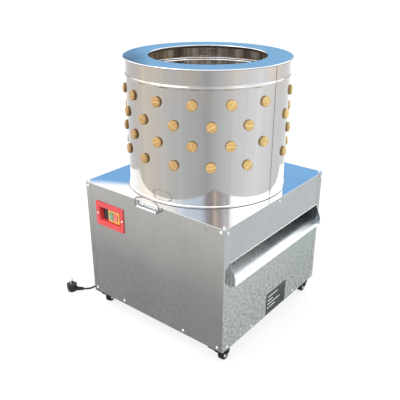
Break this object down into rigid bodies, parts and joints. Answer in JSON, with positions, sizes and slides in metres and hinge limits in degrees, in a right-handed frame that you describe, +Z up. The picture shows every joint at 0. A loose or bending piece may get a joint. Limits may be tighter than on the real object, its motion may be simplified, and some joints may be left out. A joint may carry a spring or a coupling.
{
  "type": "poultry plucker",
  "caption": "Drum poultry plucker: open stainless drum with rubber fingers and a spinning finger plate on a square cabinet with side chute, switch, lift handles and swivel casters.",
  "frame": {"origin": "on the floor, under the drum axis", "axes": "+Z up along the drum axis; the switch and front handle are on the -Y face and the chute on the +X face"},
  "size_m": [0.7844, 0.6304, 0.933],
  "materials": {
    "sheet_steel": "polished stainless sheet",
    "frame_steel": "plain steel tube",
    "bright_fastener": "bright zinc plate",
    "data_plate": "blank dark plate",
    "finger_rubber": "moulded rubber",
    "red_plastic": "moulded",
    "black_plastic": "moulded",
    "yellow_plastic": "moulded",
    "green_plastic": "moulded",
    "red_button": "moulded",
    "cast_part": "machined casting",
    "shaft_steel": "turned steel",
    "belt_rubber": "rubber belt",
    "motor_shell": "painted",
    "caster_steel": "black",
    "wheel_rubber": "moulded tread",
    "cord_rubber": "matt sheath"
  },
  "bodies": {
    "chassis": {"frame_rails": "frame_steel", "corner_posts": "frame_steel", "drive_beams": "frame_steel", "corner_gussets": "frame_steel", "front_skin": "sheet_steel", "rear_skin": "sheet_steel", "deck_plate": "sheet_steel", "panel_screws": "bright_fastener", "data_plate": "data_plate", "drum_shell": "sheet_steel", "drum_ring": "sheet_steel", "drum_flange": "sheet_steel", "drum_fingers": "finger_rubber", "chute_tray": "sheet_steel", "chute_cheeks": "sheet_steel", "switch_housing": "red_plastic", "switch_screws": "bright_fastener", "switch_body": "black_plastic", "switch_bezel": "yellow_plastic", "handle_plates": "bright_fastener", "handle_rivets": "bright_fastener", "bearing_housing": "cast_part", "shaft_bearings": "shaft_steel", "drive_belt": "belt_rubber", "motor_plate": "frame_steel", "motor_body": "motor_shell", "motor_fan_cover": "motor_shell", "motor_terminal_box": "motor_shell", "caster_plates": "caster_steel", "caster_bolts": "bright_fastener", "cord_gland": "black_plastic", "cord_drop": "cord_rubber", "cord_coil": "cord_rubber", "cord_lead": "cord_rubber", "mains_plug": "cord_rubber"},
    "rotor": {"main_shaft": "shaft_steel", "plate_hub": "cast_part", "hub_cap": "sheet_steel", "feather_plate": "sheet_steel", "plate_fingers": "finger_rubber", "driven_pulley": "cast_part"},
    "motor_rotor": {"motor_shaft": "shaft_steel", "motor_fan": "black_plastic", "motor_pulley": "cast_part"},
    "start_push": {"start_button": "green_plastic"},
    "stop_push": {"stop_button": "red_button"},
    "front_handle": {"front_bail": "bright_fastener"},
    "rear_handle": {"rear_bail": "bright_fastener"},
    "swivel_fl": {"caster_fork_fl": "caster_steel", "caster_axle_fl": "bright_fastener"},
    "roller_fl": {"caster_wheel_fl": "wheel_rubber"},
    "swivel_fr": {"caster_fork_fr": "caster_steel", "caster_axle_fr": "bright_fastener"},
    "roller_fr": {"caster_wheel_fr": "wheel_rubber"},
    "swivel_rl": {"caster_fork_rl": "caster_steel", "caster_axle_rl": "bright_fastener"},
    "roller_rl": {"caster_wheel_rl": "wheel_rubber"},
    "swivel_rr": {"caster_fork_rr": "caster_steel", "caster_axle_rr": "bright_fastener"},
    "roller_rr": {"caster_wheel_rr": "wheel_rubber"}
  },
  "joints": [
    {"name": "plate_spin", "type": "hinge", "parent": "chassis", "child": "rotor", "pos_m": [0, 0, 0.5], "axis": [0, 0, 1], "continuous": true},
    {"name": "motor_spin", "type": "hinge", "parent": "chassis", "child": "motor_rotor", "pos_m": [-0.185, 0, 0.2], "axis": [0, 0, 1], "continuous": true},
    {"name": "start_press", "type": "slide", "parent": "chassis", "child": "start_push", "axis": [0, 1, 0], "range_m": [0, 0.004], "stiffness_N_per_m": 300},
    {"name": "stop_press", "type": "slide", "parent": "chassis", "child": "stop_push", "axis": [0, 1, 0], "range_m": [0, 0.004], "stiffness_N_per_m": 300},
    {"name": "front_handle_swing", "type": "hinge", "parent": "chassis", "child": "front_handle", "pos_m": [0, -0.3085, 0.489], "axis": [1, 0, 0], "range_deg": [-15, 180]},
    {"name": "rear_handle_swing", "type": "hinge", "parent": "chassis", "child": "rear_handle", "pos_m": [0, 0.3085, 0.489], "axis": [-1, 0, 0], "range_deg": [-15, 180]},
    {"name": "caster_swivel_fl", "type": "hinge", "parent": "chassis", "child": "swivel_fl", "pos_m": [-0.268, -0.262, 0.06], "axis": [0, 0, 1], "continuous": true},
    {"name": "caster_roll_fl", "type": "hinge", "parent": "swivel_fl", "child": "roller_fl", "pos_m": [-0.27474, -0.24531, 0.025], "axis": [0.9272, 0.3746, 0], "continuous": true},
    {"name": "caster_swivel_fr", "type": "hinge", "parent": "chassis", "child": "swivel_fr", "pos_m": [0.268, -0.262, 0.06], "axis": [0, 0, 1], "continuous": true},
    {"name": "caster_roll_fr", "type": "hinge", "parent": "swivel_fr", "child": "roller_fr", "pos_m": [0.26612, -0.2441, 0.025], "axis": [0.9945, 0.1045, 0], "continuous": true},
    {"name": "caster_swivel_rl", "type": "hinge", "parent": "chassis", "child": "swivel_rl", "pos_m": [-0.268, 0.262, 0.06], "axis": [0, 0, 1], "continuous": true},
    {"name": "caster_roll_rl", "type": "hinge", "parent": "swivel_rl", "child": "roller_rl", "pos_m": [-0.27296, 0.2793, 0.025], "axis": [0.9613, 0.2756, 0], "continuous": true},
    {"name": "caster_swivel_rr", "type": "hinge", "parent": "chassis", "child": "swivel_rr", "pos_m": [0.268, 0.262, 0.06], "axis": [0, 0, 1], "continuous": true},
    {"name": "caster_roll_rr", "type": "hinge", "parent": "swivel_rr", "child": "roller_rr", "pos_m": [0.26549, 0.27982, 0.025], "axis": [0.9903, 0.1392, 0], "continuous": true}
  ],
  "couplings": [
    {"joint": "motor_spin", "follows": "plate_spin", "ratio": 4.1667}
  ]
}
